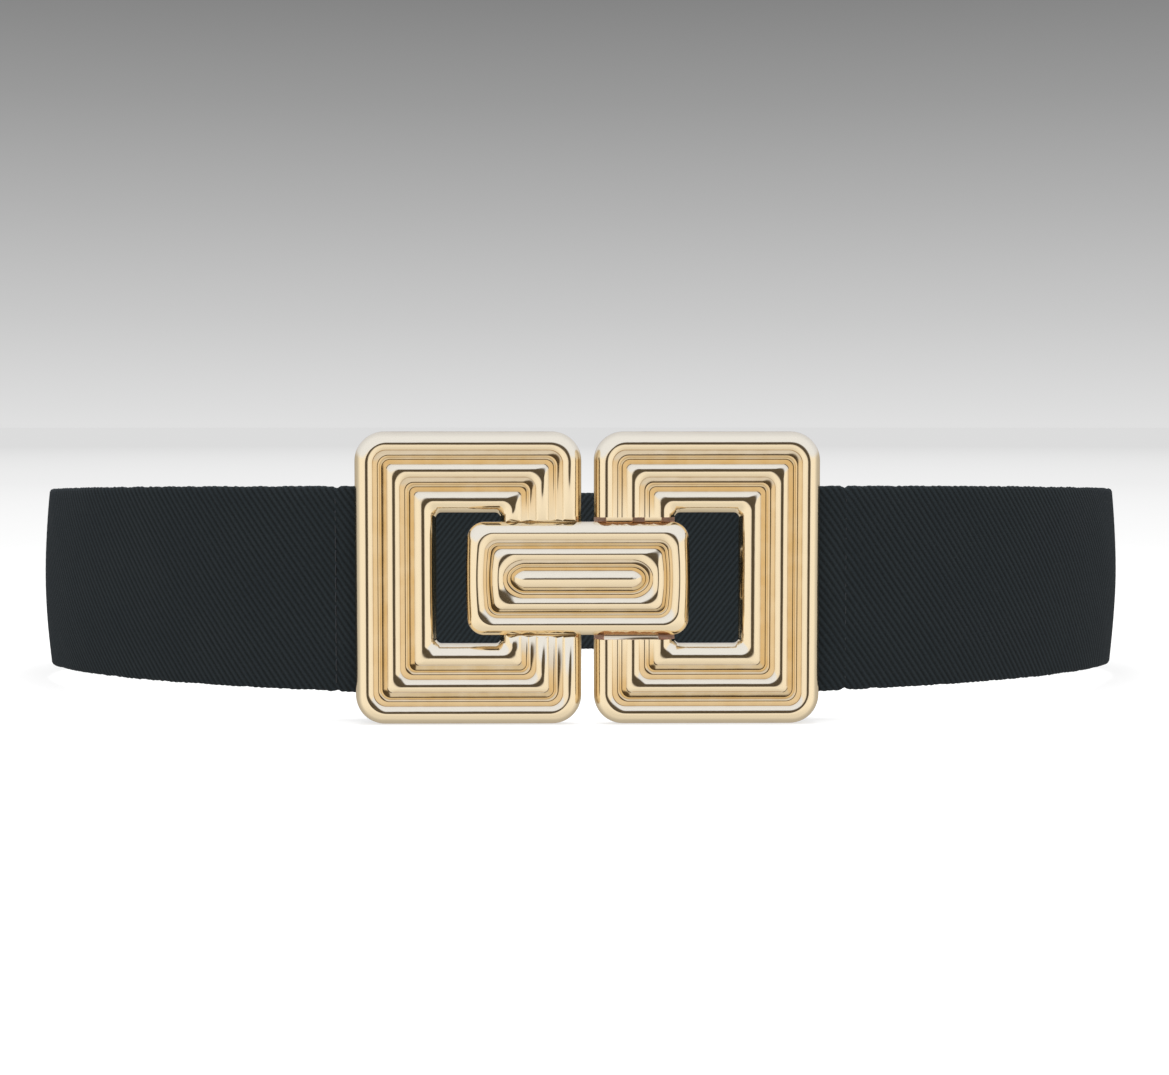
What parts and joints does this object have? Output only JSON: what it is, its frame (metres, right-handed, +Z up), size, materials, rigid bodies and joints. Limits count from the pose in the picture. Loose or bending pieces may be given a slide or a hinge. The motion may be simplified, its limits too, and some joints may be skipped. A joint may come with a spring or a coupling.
{
  "type": "stretch belt",
  "caption": "Elastic stretch belt closed into a loop by an interlocking buckle of ribbed rectangular frames and a ribbed clasp plate, standing on its edge.",
  "frame": {"origin": "on the ground under the middle of the belt's outline", "axes": "+X along the buckle to the hooked frame, +Y from the buckle to the back of the loop, +Z up"},
  "size_m": [0.3062, 0.1662, 0.07],
  "materials": {
    "buckle_gold": "polished light gold plating",
    "black_elastic": "ribbed woven elastic, matt"
  },
  "bodies": {
    "root": {"left_frame": "buckle_gold", "right_frame": "buckle_gold", "clasp_plate": "buckle_gold", "elastic_band": "black_elastic"}
  },
  "joints": []
}
